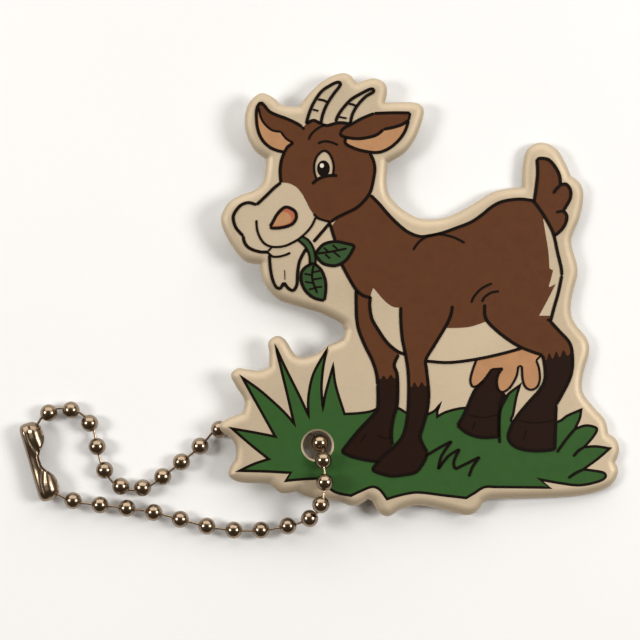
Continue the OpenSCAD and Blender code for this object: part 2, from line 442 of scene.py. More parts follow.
def distance_to(loop, points):
    """Least distance from each point to a closed outline, and whether it is inside."""
    a, b = loop, np.roll(loop, -1, 0)
    along = b - a
    best = np.full(len(points), 1e9)
    inside = np.zeros(len(points), bool)
    for part in np.array_split(np.arange(len(points)), max(1, len(points) // 2000)):
        p = points[part][:, None]
        t = np.clip(((p - a) * along).sum(-1) / (along ** 2).sum(-1), 0, 1)
        best[part] = np.sqrt((((p - a) - t[..., None] * along) ** 2).sum(-1)).min(1)
        y, x = p[..., 1], p[..., 0]
        crosses = (a[:, 1] > y) != (b[:, 1] > y)
        with np.errstate(divide="ignore", invalid="ignore"):
            where = a[:, 0] + (y - a[:, 1]) * along[:, 0] / along[:, 1]
        inside[part] = ((x < where) & crosses).sum(1) % 2 == 1
    return best, inside


def offset_points(loop, depth):
    """Points at a depth inside the outline: each corner pushed along the mean of its two
    inward normals, a sharp inner corner fanned out too, kept where no edge is nearer."""
    normal, before = left_normals(loop)
    turn = np.cross(before, normal) < -0.25
    both = before + normal
    tries = [loop + depth * both / np.linalg.norm(both, axis=1, keepdims=True)]
    for share in (0.0, 0.25, 0.75, 1.0):
        way = before[turn] * (1 - share) + normal[turn] * share
        tries.append(loop[turn] + depth * way / np.linalg.norm(way, axis=1, keepdims=True))
    tries = np.concatenate(tries)
    gap, inside = distance_to(loop, tries)
    return tries[inside & (gap > depth * 0.97)]


def plate_piece(settings, material):
    """The tag: its height falls from the flat face to the edge as a quarter ellipse of the
    distance to the outline, upper face and underside alike, over one triangulation."""
    loop, centre, bore, mouth = tag_loops()
    roll, wall = settings.roll, settings.edge_wall
    circle = np.linspace(0, 2 * math.pi, 72, endpoint=False)
    round_hole = np.stack([np.cos(circle), np.sin(circle)], -1)
    hole_ring = centre + round_hole * mouth
    inner = [offset_points(loop, d) for d in roll * np.array(ROLL_SHARES)]
    lo, hi = loop.min(0), loop.max(0)
    gx, gy = np.meshgrid(*(np.arange(lo[i], hi[i], FIELD_STEP) for i in (0, 1)))
    field = np.stack([gx.ravel(), gy.ravel()], -1)
    gap, inside = distance_to(loop, field)
    field = field[inside & (gap > roll * FIELD_SHARE)]
    extra = np.concatenate([*inner, field, centre + round_hole[::3] * (mouth + 0.4 * MM)])
    away = np.linalg.norm(extra - centre, axis=1)
    extra = extra[away > mouth + 0.2 * MM]
    keys = np.round(extra / (0.02 * MM)).astype(np.int64)
    extra = extra[np.unique(keys, axis=0, return_index=True)[1]]
    flat = np.concatenate([loop, hole_ring, extra])
    n, m = len(loop), len(hole_ring)
    edges = [(i, (i + 1) % n) for i in range(n)] + [(n + i, n + (i + 1) % m) for i in range(m)]
    scale = 1 / MM
    corners = [Vector(p) for p in (flat * scale).tolist()]
    points, _, tris, *_ = delaunay_2d_cdt(corners, edges, [], 0, 1e-7)
    points = np.array([tuple(p) for p in points]) / scale
    if len(points) != len(flat):
        raise RuntimeError("the tag's outline crosses itself")
    tris = np.array(tris)
    middle = points[tris].mean(1)
    keep = distance_to(loop, middle)[1] & (np.linalg.norm(middle - centre, axis=1) > mouth * 0.995)
    tris = tris[keep]
    gap = distance_to(loop, points)[0]
    gap[:n] = 0
    top = wall + (TAG_T - wall) * quarter_round(gap / roll)
    low = UNDER_RISE * (1 - quarter_round(gap / UNDER_ROLL))
    below = points.copy()
    below[n:n + m] = centre + round_hole * bore
    rows = [on_tag(points, top), on_tag(below, low)]
    count = len(points)
    faces = [tris, tris[:, ::-1] + count, ring_faces(np.arange(n), np.arange(n) + count)]
    start = 2 * count
    previous = n + np.arange(m)
    for depth, width in zip(BEVEL_DEPTHS, BEVEL_WIDTHS):
        radius = mouth - (mouth - bore) * width
        rows.append(on_tag(centre + round_hole * radius, TAG_T - (mouth - bore) * depth))
        current = start + np.arange(m)
        faces.append(ring_faces(previous, current))
        previous, start = current, start + m
    faces.append(ring_faces(previous, count + n + np.arange(m)))
    # Nearness to the outline, 1 at the edge; the metal material paints shade on the rolled edge
    # with it.
    rim = np.clip(1 - gap / roll, 0, 1)
    rim = np.concatenate([rim, rim, np.zeros(3 * m)])
    make_piece("tag_metal", np.concatenate(rows), faces, material, "tag",
               ["tag_plate"], rim=rim)


# ---------------------------------------------------------------- the print

def smooth_row(points, steps=6):
    """A Catmull-Rom curve through the points with its ends repeated."""
    p = np.asarray(points, float)
    if len(p) < 3:
        return p
    p = np.concatenate([p[:1], p, p[-1:]])
    a, b, c, d = p[:-3], p[1:-2], p[2:-1], p[3:]
    t = np.linspace(0, 1, steps, endpoint=False)[None, :, None]
    a, b, c, d = (v[:, None] for v in (a, b, c, d))
    curve = 0.5 * (2 * b + (c - a) * t + (2 * a - 5 * b + 4 * c - d) * t ** 2
                   + (3 * b - a - 3 * c + d) * t ** 3)
    return np.concatenate([curve.reshape(-1, 2), p[-1:]])


def outline_of(rows):
    """One closed outline from rows that each start where the one before ended."""
    whole = np.concatenate([smooth_row(r)[:-1] for r in rows])
    return whole * MM


class Layer:
    """Ink of one colour, collected as closed thin slabs."""

    def __init__(self):
        self.points, self.faces, self.count = [], [], 0

    def add(self, points, faces):
        self.points.append(points)
        self.faces.extend(np.asarray(f) + self.count for f in faces)
        self.count += len(points)

    def area(self, rows, low, high, holes=()):
        """A filled outline between two heights, with walls along its edge and its holes."""
        loops = [outline_of(rows)] + [outline_of(h) for h in holes]
        tris = np.array(tessellate_polygon(
            [[Vector((x, y, 0)) for x, y in loop.tolist()] for loop in loops]))
        flat = np.concatenate(loops)
        faces = [tris, tris[:, ::-1] + len(flat)]
        start = 0
        for loop in loops:
            k = start + np.arange(len(loop))
            faces.append(ring_faces(k, k + len(flat)))
            start += len(loop)
        self.add(np.concatenate([on_tag(flat, high), on_tag(flat, low)]), faces)

    def stroke(self, row, width, low, high):
        """A pen line: a flat band along the curve, with round ends of half its width."""
        path = smooth_row(row) * MM
        way = np.gradient(path, axis=0)
        way /= np.linalg.norm(way, axis=1, keepdims=True)
        run = np.concatenate([[0], np.cumsum(np.linalg.norm(np.diff(path, axis=0), axis=1))])
        half = width * MM / 2
        extra = np.array([0.02, 0.08, 0.2, 0.45]) * half
        every = np.concatenate([run, extra, run[-1] - extra])
        every = np.unique(every.clip(0, run[-1]))
        path = np.stack([np.interp(every, run, path[:, i]) for i in (0, 1)], -1)
        way = np.stack([np.interp(every, run, way[:, i]) for i in (0, 1)], -1)
        reach = np.minimum(every, every[-1] - every)
        share = np.clip(reach / half, 0, 1)
        band = half * np.sqrt(share * (2 - share))
        normal = np.stack([-way[:, 1], way[:, 0]], -1) * band[:, None]
        ring = np.stack([on_tag(path - normal, high), on_tag(path + normal, high),
                         on_tag(path + normal, low), on_tag(path - normal, low)], 1)
        faces = [grid_faces(len(path), 4), [[0, 1, 2, 3]],
                 [[4 * len(path) - 4 + i for i in (3, 2, 1, 0)]]]
        self.add(ring.reshape(-1, 3), faces)

    def outline(self, rows, width, low, high, longest=3.6):
        """A pen line round a closed outline: a band between two offsets of it, each corner
        drawn out to a point on its outer side, up to a longest share of half the width."""
        p = outline_of(rows)
        normal, before = left_normals(p)
        corner = (before + normal) / (1.0001 + (before * normal).sum(1))[:, None]
        length = np.linalg.norm(corner, axis=1)
        turn = before[:, 0] * normal[:, 1] - before[:, 1] * normal[:, 0]
        half = width * MM / 2
        left = corner * np.minimum(1, np.where(turn < 0, longest, 1.1) / length)[:, None] * half
        right = corner * np.minimum(1, np.where(turn > 0, longest, 1.1) / length)[:, None] * half
        ring = np.stack([on_tag(p - right, high), on_tag(p + left, high),
                         on_tag(p + left, low), on_tag(p - right, low)], 1)
        self.add(ring.reshape(-1, 3), [grid_faces(len(p), 4, wrap_rows=True)])


def oval(x, y, a, b, turns=28):
    """An ellipse as a closed outline."""
    t = np.linspace(0, 2 * math.pi, turns + 1)
    return [np.stack([x + a * np.cos(t), y + b * np.sin(t)], -1).tolist()]


def joined(*rows):
    """The rows of a closed outline. Each row after the first is given without its first
    point, which is the last point of the row before."""
    whole = [rows[0]]
    for row in rows[1:]:
        whole.append([whole[-1][-1], *row])
    return whole


# The drawing, in millimetres of the tag's own plane
GRASS = joined(
    [(-12.1, -17.0), (-9.2, -17.5), (-6.2, -18.1)], [(-8.2, -14.5), (-10.7, -10.0)],
    [(-8.2, -11.8), (-5.2, -14.5), (-3.6, -16.3)], [(-4.6, -12.0), (-6.1, -5.8)],
    [(-4.8, -8.6), (-3.0, -12.2), (-1.6, -15.2)], [(-1.6, -12.6), (-0.9, -9.4), (0.9, -6.2)],
    [(0.4, -8.8), (0.2, -11.5), (0.4, -14.2)], [(0.8, -12.0), (1.8, -8.4)],
    [(2.2, -11.2), (3.4, -15.0)],
    [(5.4, -14.9), (7.2, -14.6), (9.0, -13.8), (10.8, -14.2), (12.4, -15.0), (14.9, -15.1)],
    [(15.9, -14.6), (16.6, -13.8)], [(16.3, -14.6), (16.3, -15.4)],
    [(17.7, -14.7), (20.3, -14.2), (24.0, -14.6), (25.4, -13.6), (26.2, -12.3), (27.8, -11.1)],
    [(27.3, -12.8), (26.9, -15.0), (26.7, -16.1), (29.0, -16.8), (33.0, -16.2), (34.5, -15.3),
     (36.4, -14.5)], [(36.2, -15.7), (35.5, -17.2)],
    [(37.0, -16.7), (38.3, -16.9), (38.6, -17.4), (37.9, -18.5), (36.8, -19.7)],
    [(38.5, -19.6), (40.4, -19.9)], [(38.9, -21.2), (36.7, -22.8)],
    [(38.3, -23.0), (39.6, -23.3), (39.8, -23.9), (38.8, -24.5), (36.2, -25.0), (33.5, -24.7),
     (30.7, -24.2)], [(31.9, -25.3)], [(25.0, -25.2), (22.9, -25.2), (21.5, -26.0), (20.3, -26.7)],
    [(17.0, -26.3), (13.5, -25.9), (11.0, -26.3), (9.3, -26.8)],
    [(8.3, -25.5), (7.2, -25.1), (5.6, -25.7), (4.3, -26.3)], [(1.9, -25.7), (0.0, -23.9)],
    [(-2.4, -24.0), (-4.7, -24.2)], [(-4.1, -23.1)], [(-7.6, -22.9), (-11.1, -22.8)],
    [(-9.2, -21.9), (-7.1, -21.2)], [(-9.6, -19.2), (-12.1, -17.0)],
)
TAIL = joined(
    [(29.8, 14.4), (30.1, 16.5), (30.3, 18.5), (30.2, 20.4)],
    [(31.0, 20.5), (32.0, 20.2), (32.9, 19.1), (33.4, 18.0), (33.5, 16.8)],
    [(34.3, 16.9), (34.9, 16.1), (34.9, 15.0), (34.4, 14.0), (33.9, 13.2)],
    [(34.4, 12.5), (34.2, 11.4), (33.5, 10.4), (32.6, 9.7), (31.5, 12.0), (29.8, 14.4)],
)
BACK = [
    (7.0, 15.3), (8.2, 14.1), (9.4, 12.7), (10.8, 11.3), (12.2, 10.2), (13.8, 9.6), (15.2, 9.7),
    (17.0, 10.1), (19.0, 10.8), (21.0, 11.6), (22.5, 12.6), (24.0, 13.8), (25.5, 14.5),
    (27.5, 14.8), (29.0, 14.7), (29.8, 14.4), (31.0, 12.8), (32.0, 11.1), (32.6, 9.7), (33.1, 7.4),
    (33.6, 5.3), (33.7, 4.2),
]
BUTTOCK = [(33.7, 4.2), (33.2, 1.8), (32.6, -0.3), (32.1, -2.2)]
SHANK = [
    (32.1, -2.2), (33.4, -3.6), (34.6, -4.9), (35.1, -6.2), (35.2, -8.4), (34.8, -10.2),
    (33.9, -12.0), (32.9, -13.8),
]
BODY = joined(
    BACK[:17], [(31.1, 11.8), (31.4, 10.0), (31.8, 7.5), (31.95, 5.2)], [(32.45, 4.9)],
    [(32.1, 3.5)], [(31.9, 2.6), (32.8, 3.0)], [(31.9, 1.2), (30.5, -1.4)], [(32.3, -1.4)],
    [(32.1, -2.2)], SHANK[1:5], [(31.3, -8.5)],
    [(31.0, -6.9), (29.5, -6.4), (28.0, -5.8), (26.3, -4.8), (24.5, -3.4), (23.1, -2.2)],
    [(21.0, -2.9), (19.0, -3.1), (17.4, -3.1)],
    [(15.8, -5.6), (14.7, -7.5), (14.8, -9.0), (15.1, -12.0)], [(12.3, -12.0)],
    [(12.2, -9.0), (11.8, -6.5), (11.4, -4.5), (11.2, -2.0), (11.2, -0.3)],
    [(10.0, -0.1), (8.75, 0.9), (7.4, 2.5)], [(7.1, 1.8), (7.0, 1.1)],
    [(6.0, 1.4), (5.0, 2.2), (3.9, 4.0), (3.0, 5.7), (2.6, 7.2), (2.1, 9.0), (1.6, 10.9)],
    [(3.0, 12.6), (7.0, 15.3)],
)
FAR_LEG = joined(
    [(5.0, 2.1), (5.0, 0.0), (5.1, -2.0), (5.4, -3.5), (6.2, -5.5), (7.2, -7.5), (7.8, -9.3),
     (8.0, -11.0)], [(10.8, -11.0)], [(10.7, -9.5), (10.3, -8.2), (10.9, -6.8)], [(11.9, -6.8)],
    [(10.7, -6.3), (9.3, -5.1), (8.1, -3.4), (7.2, -1.8), (6.9, 0.0), (7.0, 1.3)], [(5.0, 2.1)],
)
FAR_SHIN = joined(
    [(7.9, -9.8), (8.4, -10.2), (8.8, -9.7), (9.3, -10.2), (9.8, -9.6), (10.3, -10.1),
     (10.7, -9.7)],
    [(10.8, -11.5), (10.7, -13.8), (10.2, -15.5), (9.9, -17.5), (10.0, -19.3), (9.3, -20.6),
     (8.0, -21.6)], [(6.5, -21.4), (4.4, -20.9), (3.0, -20.2)],
    [(4.5, -18.3), (5.8, -16.8), (7.5, -15.0), (8.0, -14.0), (8.0, -11.0), (7.9, -9.8)],
)
NEAR_SHIN = joined(
    [(12.2, -10.7), (12.7, -11.3), (13.1, -10.6), (13.6, -11.3), (14.1, -10.6), (14.6, -11.2),
     (15.0, -10.7)],
    [(15.1, -12.0), (14.9, -14.5), (14.2, -17.0), (13.9, -18.2), (14.3, -19.3), (14.9, -20.3)],
    [(14.5, -21.5), (13.4, -23.0)], [(12.0, -23.4), (10.0, -23.6), (8.2, -23.2), (7.2, -22.7)],
    [(8.6, -21.0), (10.2, -19.6), (11.5, -18.0), (12.1, -15.5), (12.3, -12.0), (12.2, -10.7)],
)
FAR_HIND = joined(
    [(23.8, -8.6), (22.8, -10.4), (21.5, -11.8), (20.5, -14.0), (19.9, -15.3), (19.1, -16.6)],
    [(20.5, -17.7), (22.5, -18.3), (24.9, -18.2)],
    [(24.9, -16.0), (25.1, -13.6), (25.7, -12.2), (25.6, -8.6)], [(23.8, -8.6)],
)
NEAR_HIND = joined(
    [(31.0, -6.9), (31.5, -7.6), (31.9, -6.6), (32.4, -7.4), (32.9, -6.4), (33.4, -7.2),
     (33.9, -6.2), (34.5, -7.0), (35.1, -6.2)],
    [(35.2, -8.4), (34.8, -10.2), (33.9, -12.0), (32.9, -13.8)], [(32.8, -17.0), (32.7, -20.0)],
    [(30.5, -20.2), (28.3, -20.0), (26.9, -19.4), (26.2, -18.4)],
    [(26.5, -17.0), (27.5, -15.3), (29.0, -13.5), (30.6, -11.7), (31.3, -10.3), (31.3, -8.5),
     (31.0, -6.9)],
)
UDDER = joined(
    [(21.8, -7.4), (23.0, -7.2), (26.0, -6.5), (28.1, -5.9)], [(29.4, -6.4), (30.8, -6.9)],
    [(30.1, -7.6)],
    [(30.5, -8.8), (30.6, -10.3), (30.2, -11.3), (29.4, -11.7), (28.6, -11.3), (28.2, -10.2),
     (28.1, -8.4)], [(27.6, -8.4)],
    [(27.4, -9.6), (27.0, -10.5), (26.3, -11.5), (25.4, -12.0), (24.8, -11.6), (24.6, -10.6),
     (24.8, -9.6), (25.4, -8.7)], [(23.9, -8.8)],
    [(22.8, -10.3), (21.9, -11.1), (21.2, -11.2), (20.9, -10.4), (21.2, -9.0), (21.8, -7.4)],
)
HEAD = joined(
    [(-5.4, 17.0), (-5.5, 18.0), (-5.5, 19.0), (-5.3, 20.2), (-4.9, 21.2)],
    [(-3.6, 22.8), (-2.4, 24.6)], [(-1.7, 25.2), (-0.8, 25.5), (0.1, 25.1)],
    [(1.0, 24.9), (2.1, 25.2), (3.0, 25.3), (4.3, 25.0), (6.0, 23.4), (6.9, 21.1)],
    [(7.4, 20.1), (7.6, 18.9), (7.4, 17.4), (7.0, 15.8), (6.2, 14.6), (5.0, 13.5), (3.4, 12.7),
     (2.4, 12.2), (1.5, 11.6)],
    [(0.9, 11.8), (0.3, 11.9), (-0.4, 12.3), (-0.9, 12.7), (-1.4, 13.4), (-2.0, 14.6),
     (-2.5, 15.5), (-3.3, 16.4), (-4.3, 16.9), (-5.4, 17.0)],
)
EYE = joined(
    [(-0.5, 17.5), (-0.8, 18.6), (-0.75, 19.8), (-0.3, 20.8), (0.5, 21.4), (1.2, 21.1),
     (1.7, 20.2), (1.9, 19.2), (1.8, 18.1)], [(0.6, 17.9), (-0.5, 17.5)],
)
LEFT_EAR = joined(
    [(-8.2, 28.1), (-7.7, 27.6), (-7.0, 26.8), (-6.0, 26.3), (-4.6, 25.8), (-3.3, 25.2),
     (-2.5, 24.7)], [(-2.6, 23.4), (-3.7, 22.5)], [(-4.5, 22.9), (-5.0, 23.4), (-5.4, 24.0)],
    [(-6.6, 24.2), (-7.6, 25.0), (-8.2, 26.0), (-8.5, 27.3)], [(-8.2, 28.1)],
)
LEFT_EAR_SKIN = joined(
    [(-8.7, 27.4), (-8.8, 26.0), (-8.6, 24.3), (-8.0, 22.9), (-7.0, 21.9), (-5.9, 21.4),
     (-4.9, 21.2)], [(-4.5, 21.9), (-3.7, 22.5)], [(-4.5, 22.9), (-5.0, 23.4), (-5.4, 24.0)],
    [(-6.6, 24.2), (-7.6, 25.0), (-8.2, 26.0), (-8.7, 27.4)],
)
RIGHT_EAR = joined(
    [(2.8, 24.0), (3.4, 24.6), (4.4, 25.1), (5.8, 25.9), (7.5, 26.6)],
    [(10.0, 26.7), (12.5, 26.7)], [(12.3, 25.7)], [(11.4, 25.1), (10.2, 24.7), (8.8, 24.4)],
    [(8.1, 23.8), (7.2, 23.4), (5.5, 23.1), (4.0, 23.2), (3.0, 23.5), (2.8, 24.0)],
)
RIGHT_EAR_SKIN = joined(
    [(3.6, 23.3), (3.5, 22.5), (4.4, 21.9), (6.0, 21.4), (8.0, 21.2), (9.6, 21.8), (10.9, 22.9),
     (11.8, 24.2), (12.3, 25.7)], [(11.4, 25.1), (10.2, 24.7), (8.8, 24.4)],
    [(8.1, 23.8), (7.2, 23.4), (5.5, 23.1), (4.2, 23.2), (3.6, 23.3)],
)
NOSTRIL = [
    [(-6.9, 10.9), (-6.5, 11.6), (-6.0, 12.5), (-5.3, 13.3), (-4.7, 13.6), (-4.0, 13.4),
     (-3.4, 12.9), (-3.3, 12.1), (-3.8, 11.3), (-4.7, 10.9), (-5.8, 10.7), (-6.6, 10.7),
     (-6.9, 10.9)],
]
NOSTRIL_SKIN = [
    [(-6.6, 11.0), (-6.0, 12.2), (-5.2, 12.9), (-4.5, 12.8), (-4.0, 12.1), (-4.2, 11.5),
     (-5.2, 11.1), (-6.6, 11.0)],
]
PUPIL = oval(0.47, 18.95, 0.88, 1.12)
EYE_GLINT = oval(0.25, 19.35, 0.28, 0.3)
STEM = joined(
    [(-2.6, 9.6), (-1.7, 9.1), (-1.0, 8.1), (-0.65, 6.8), (-0.65, 5.5)], [(-1.4, 5.5)],
    [(-1.5, 7.0), (-2.1, 8.2), (-3.1, 9.1)], [(-2.6, 9.6)],
)
UPPER_LEAF = joined(
    [(-0.7, 7.1), (0.4, 8.4), (2.0, 8.85), (3.6, 8.6), (4.8, 8.3)],
    [(4.3, 7.3), (3.6, 6.3), (2.7, 5.7), (1.7, 5.5), (0.3, 5.9), (-0.7, 7.1)],
)
LOWER_LEAF = joined(
    [(-0.9, 5.9), (0.1, 5.0), (0.7, 3.6), (0.8, 2.2), (0.6, 0.7)],
    [(-0.7, 1.0), (-1.8, 1.8), (-2.5, 3.0), (-2.6, 4.4), (-2.0, 5.3), (-0.9, 5.9)],
)
LEFT_HORN = [
    [(-1.9, 25.1), (-1.6, 26.3), (-0.9, 28.0), (0.2, 29.6), (1.5, 30.5), (2.5, 30.9), (2.8, 30.5),
     (1.9, 29.3), (1.0, 27.9), (0.4, 26.5), (0.1, 25.1)],
]
RIGHT_HORN = [
    [(2.2, 25.4), (2.4, 26.1), (3.1, 27.2), (4.3, 28.5), (5.8, 29.4), (7.1, 30.0), (7.4, 29.6),
     (6.3, 28.9), (5.2, 27.7), (4.5, 26.5), (4.2, 25.2)],
]
# Pen lines in four weights: blades of grass, outer lines, inner lines and faint ones
BLADE_LINES = [
    [(25.0, -19.1), (24.9, -16.8), (25.1, -14.4), (26.2, -12.3)],
    [(35.5, -17.2), (34.3, -18.6), (33.0, -20.4)], [(36.8, -19.7), (36.0, -20.2), (35.3, -21.0)],
    [(36.7, -22.8), (35.6, -23.3), (34.6, -24.0)], [(14.6, -20.9), (16.4, -19.8), (18.3, -18.8)],
    [(18.3, -18.8), (16.9, -20.8), (16.4, -22.7)], [(16.4, -22.7), (17.8, -20.9), (19.4, -19.9)],
    [(19.4, -19.9), (18.6, -21.6), (18.75, -22.7)], [(18.75, -22.7), (20.4, -21.9), (22.2, -21.0)],
    [(22.2, -21.0), (21.2, -22.4), (20.7, -23.7)],
]
OUTER_LINES = [
    *TAIL[:3], TAIL[3][:5], [(33.5, 16.8), (32.9, 16.2), (32.5, 15.6)],
    [(33.9, 13.2), (32.9, 13.0)], BACK, BUTTOCK, SHANK, [(31.6, -1.9), (32.3, -2.2)], NEAR_HIND[2],
    [*NEAR_HIND[4][::-1], *NEAR_HIND[3][-2::-1]],
    [(22.9, 0.2), (22.9, -1.2), (23.3, -2.2), (24.5, -3.4), (26.3, -4.8), (28.0, -5.8),
     (29.5, -6.4), (31.0, -6.9)],
    [(14.8, -7.7), (17.5, -7.9), (20.0, -7.7), (23.0, -7.2), (26.0, -6.5), (28.1, -5.9)],
    [(18.4, 0.0), (18.1, -1.5), (17.2, -3.3), (15.8, -5.6), (14.7, -7.5), (14.8, -9.0),
     *NEAR_SHIN[1][1:]],
    [(11.2, -0.2), (11.2, -2.0), (11.4, -4.5), (11.8, -6.5), (12.2, -9.0), *NEAR_SHIN[4][-2::-1]],
    [*NEAR_SHIN[3][::-1], *NEAR_SHIN[2][-2::-1]], FAR_LEG[0],
    [(8.0, -11.0), (8.0, -14.0), (7.5, -15.0), (5.8, -16.8), (4.5, -18.3), (3.0, -20.2)],
    FAR_SHIN[2][::-1], FAR_LEG[4],
    [(10.9, -6.8), (10.3, -8.2), (10.7, -9.5), (10.8, -11.5), (10.7, -13.8), (10.2, -15.5),
     (9.9, -17.5), (10.0, -19.3)], FAR_HIND[0][1:], FAR_HIND[1],
    [(24.9, -18.2), (24.9, -16.0), (25.1, -13.6), (25.7, -12.2)],
    [(7.0, 1.1), (6.0, 1.4), (5.0, 2.2), (3.9, 4.0), (3.0, 5.7)],
    [(1.4, 11.3), (1.7, 10.2), (2.1, 9.0)], HEAD[0], HEAD[4],
    [(1.5, 11.6), (0.3, 10.2), (-0.9, 8.8)],
    [(0.1, 25.1), (1.0, 24.9), (2.1, 25.2), (3.0, 25.3), (4.3, 25.1)],
    [(-1.9, 25.1), (-0.9, 25.6), (0.1, 25.1)], [(-2.5, 24.7), (-2.2, 24.3)], *LEFT_HORN,
    *RIGHT_HORN, LEFT_EAR[0], [(-8.2, 28.1), (-8.7, 27.3), *LEFT_EAR_SKIN[0][1:]],
    LEFT_EAR_SKIN[1], *RIGHT_EAR, RIGHT_EAR_SKIN[0],
    [(-5.4, 17.0), (-6.4, 16.2), (-7.5, 15.1), (-8.8, 13.9)],
    [(-8.8, 13.9), (-9.9, 14.2), (-11.0, 13.8), (-11.8, 12.8), (-12.0, 12.0), (-11.7, 10.9),
     (-11.2, 10.2), (-10.6, 9.6)],
    [(-10.6, 9.6), (-10.5, 8.9), (-10.1, 8.2), (-9.3, 7.7), (-8.2, 7.4), (-7.2, 7.4)],
    [(-7.0, 7.0), (-6.9, 5.4), (-6.6, 3.7), (-6.1, 2.6), (-5.5, 2.4), (-5.0, 3.2)],
    [(-5.0, 3.2), (-4.4, 2.4), (-3.7, 2.1), (-3.2, 2.9), (-3.1, 4.5), (-2.8, 6.2), (-1.9, 7.9)],
    *NOSTRIL, *UPPER_LEAF, *LOWER_LEAF,
    [(-1.1, 16.8), (-0.4, 17.4), (0.6, 17.85), (1.6, 18.0), (2.4, 17.95)],
]
INNER_LINES = [
    [(12.9, 7.7), (13.8, 8.9), (15.0, 9.6), (16.5, 9.9), (18.5, 9.5), (20.1, 8.7)],
    [(21.0, 0.4), (21.5, 1.4), (22.5, 2.4), (23.9, 3.1)],
    [(22.5, 0.5), (22.9, 1.2), (23.8, 1.8), (24.9, 2.0)], *UDDER[2:], *LEFT_EAR[2:4],
    [(-1.6, 22.9), (-1.2, 23.7), (-0.3, 24.5), (0.7, 25.0)],
    [(-0.3, 22.4), (0.5, 22.7), (1.5, 22.6), (2.5, 22.2)], EYE[0], STEM[0], STEM[2],
    [(-8.8, 11.8), (-8.7, 10.5), (-8.3, 9.4), (-7.6, 8.5), (-6.5, 8.1), (-5.0, 8.2), (-3.8, 8.7),
     (-2.8, 9.3), (-1.8, 10.2), (-1.1, 11.1), (-0.6, 12.2)],
    [(-0.9, 12.7), (-0.3, 12.1), (0.5, 11.8), (1.4, 11.6)],
    [(-7.3, 7.4), (-6.6, 6.8), (-5.8, 6.75), (-4.9, 6.95), (-4.1, 7.3)],
    [(-7.2, 7.5), (-6.7, 8.0)], [(-0.3, 28.5), (0.4, 28.4), (1.1, 28.1)],
    [(-1.0, 27.1), (-0.2, 26.9)], [(4.0, 27.9), (4.6, 27.8), (5.1, 27.5)],
    [(2.6, 26.1), (3.7, 25.9)], [(-0.5, 7.2), (1.2, 7.4), (3.7, 7.9)], [(0.7, 7.1), (1.4, 6.5)],
    [(1.9, 7.4), (2.8, 6.7)], [(0.5, 8.0), (1.1, 7.5)], [(1.7, 8.4), (2.4, 7.8)],
    [(-0.9, 5.6), (-1.1, 3.8), (-0.4, 1.7)], [(-2.2, 4.4), (-1.1, 4.2)],
    [(-2.1, 3.3), (-1.0, 3.1)], [(-1.6, 2.2), (-0.8, 2.4)], [(-1.0, 4.6), (0.0, 4.8)],
    [(-1.0, 3.6), (0.3, 3.8)], [(-0.8, 2.5), (0.3, 2.6)],
]
FAINT_LINES = [
    [(20.6, -15.1), (22.6, -15.5), (24.8, -15.1)], [(27.6, -15.9), (30.0, -16.3), (32.7, -15.9)],
    [(8.0, -17.9), (9.0, -18.4), (9.9, -18.2)], [(-4.9, 4.9), (-4.85, 3.6)],
    [(21.2, -17.2), (21.5, -16.2)], [(28.3, -18.6), (28.7, -17.3)], [(5.6, -18.9), (6.4, -17.8)],
]


def ink_material(name, colour):
    """Printed lacquer: a slightly cloudy colour over the metal's grain, with a thin gloss."""
    return handled(name, colour, 0.82, (0.42, 0.55), 700.0, 9000.0, 0.12, Metallic=0.0,
                   Specular_IOR_Level=0.12)


def print_pieces(settings):
    """The printed goat and grass: one mesh for each ink, in thin layers that overlap as
    they were printed, from the grass at the back to the pen lines on top."""
    ground = TAG_T - INK_SINK
    level = [TAG_T + settings.step * k for k in range(10)]
    coat, legs, skin, grass, leaf, rim, ink, light = (Layer() for _ in range(8))
    _, centre, _, mouth = tag_loops()
    round_hole = oval(*(centre / MM), *[mouth / MM + HOLE_MARGIN] * 2, 48)
    for layer, rows, k, *holes in (
            (grass, GRASS, 1, round_hole), (coat, TAIL, 2), (coat, FAR_LEG, 2),
            (legs, FAR_SHIN, 3), (legs, FAR_HIND, 3), (coat, BODY, 4), (legs, NEAR_SHIN, 5),
            (legs, NEAR_HIND, 5), (skin, UDDER, 5), (coat, HEAD, 5, EYE), (coat, LEFT_EAR, 6),
            (skin, LEFT_EAR_SKIN, 7), (skin, RIGHT_EAR_SKIN, 6), (coat, RIGHT_EAR, 7),
            (rim, NOSTRIL, 5), (skin, NOSTRIL_SKIN, 6), (leaf, STEM, 6), (leaf, UPPER_LEAF, 7),
            (leaf, LOWER_LEAF, 7), (ink, PUPIL, 6), (light, EYE_GLINT, 8)):
        layer.area(rows, ground, level[k], holes)
    ink.outline(GRASS, BLADE_PEN, ground, level[1] + settings.step / 2)
    for lines, width in ((BLADE_LINES, BLADE_PEN), (OUTER_LINES, OUTER_PEN),
                         (INNER_LINES, INNER_PEN), (FAINT_LINES, FAINT_PEN)):
        for row in lines:
            ink.stroke(row, width, ground, level[9])
    inks = (("print_coat", coat, settings.coat), ("print_legs", legs, settings.legs),
            ("print_skin", skin, settings.skin), ("print_grass", grass, settings.grass),
            ("print_leaves", leaf, settings.leaf), ("print_nostril", rim, NOSTRIL_RIM),
            ("print_lines", ink, settings.ink), ("print_glint", light, GLINT))
    for name, layer, colour in inks:
        make_piece(name, np.concatenate(layer.points), layer.faces,
                   ink_material(name.replace("print", "ink"), tuple(colour)), "tag",
                   smooth=False)


# ---------------------------------------------------------------- the chain

